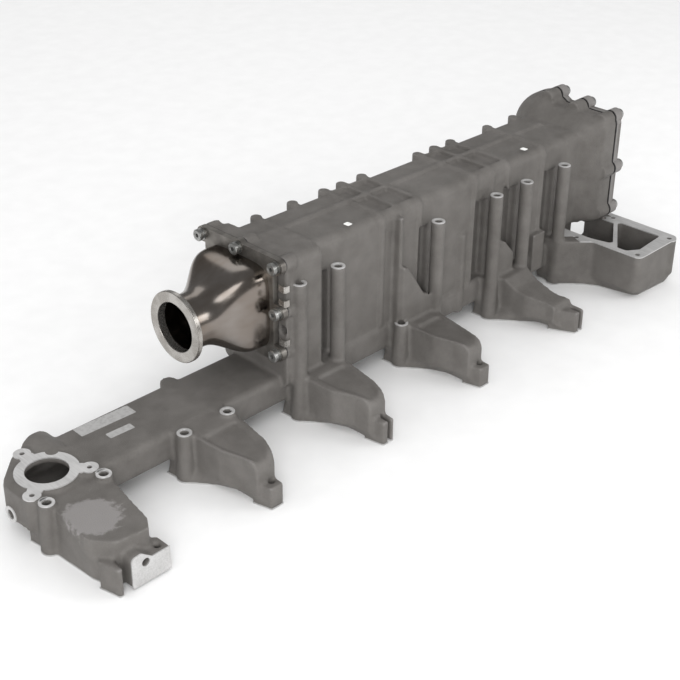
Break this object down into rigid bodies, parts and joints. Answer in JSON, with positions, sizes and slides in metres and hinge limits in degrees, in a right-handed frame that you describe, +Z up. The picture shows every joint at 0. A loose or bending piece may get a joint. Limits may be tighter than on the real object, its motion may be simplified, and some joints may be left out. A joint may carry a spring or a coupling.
{
  "type": "egr cooler",
  "caption": "Long exhaust gas recirculation cooler: cast jacket on a coolant duct with side arms, bolt pillars, a cone gas inlet with clamp flange and an outlet box.",
  "frame": {"origin": "axis of the first bolt hole of the first arm, in the mating plane of the feet", "axes": "+X along the bolt line from the gas inlet's end to the rear cover, -Y along the arms, +Z up out of the mating plane"},
  "size_m": [0.8935, 0.2545, 0.2165],
  "materials": {
    "cast_aluminium": "sand cast and shot blasted, matte, with light machined faces",
    "front_plate": "matte pickled stainless steel",
    "stainless_cone": "drawn stainless steel, glossy, with a slight brown heat tint",
    "clamp_flange": "turned stainless steel",
    "core_steel": "brazed stainless steel sheet",
    "zinc_screw": "zinc plated",
    "gasket": "dark coated metal and rubber gasket",
    "seal": "matte black rubber"
  },
  "bodies": {
    "root": {"housing": "cast_aluminium", "core_flange": "front_plate", "front_gasket": "gasket", "inlet_cone": "stainless_cone", "vband_flange": "clamp_flange", "front_header": "core_steel", "rear_header": "core_steel", "tube_support_1": "core_steel", "tube_support_2": "core_steel", "tube_support_3": "core_steel", "gas_tube_1": "core_steel", "gas_tube_2": "core_steel", "gas_tube_3": "core_steel", "gas_tube_4": "core_steel", "gas_tube_5": "core_steel", "gas_tube_6": "core_steel", "gas_tube_7": "core_steel", "gas_tube_8": "core_steel", "fin_1": "core_steel", "fin_2": "core_steel", "fin_3": "core_steel", "fin_4": "core_steel", "fin_5": "core_steel", "fin_6": "core_steel", "fin_7": "core_steel", "fin_8": "core_steel", "rear_seal": "seal", "rear_gasket": "gasket", "rear_cover": "cast_aluminium", "front_bolt_1": "zinc_screw", "front_bolt_2": "zinc_screw", "front_bolt_3": "zinc_screw", "front_bolt_4": "zinc_screw", "front_bolt_5": "zinc_screw", "front_bolt_6": "zinc_screw", "front_bolt_7": "zinc_screw", "front_bolt_8": "zinc_screw", "front_bolt_9": "zinc_screw", "rear_bolt_1": "zinc_screw", "rear_bolt_2": "zinc_screw", "rear_bolt_3": "zinc_screw", "rear_bolt_4": "zinc_screw", "rear_bolt_5": "zinc_screw", "rear_bolt_6": "zinc_screw", "rear_bolt_7": "zinc_screw", "rear_bolt_8": "zinc_screw"}
  },
  "joints": []
}
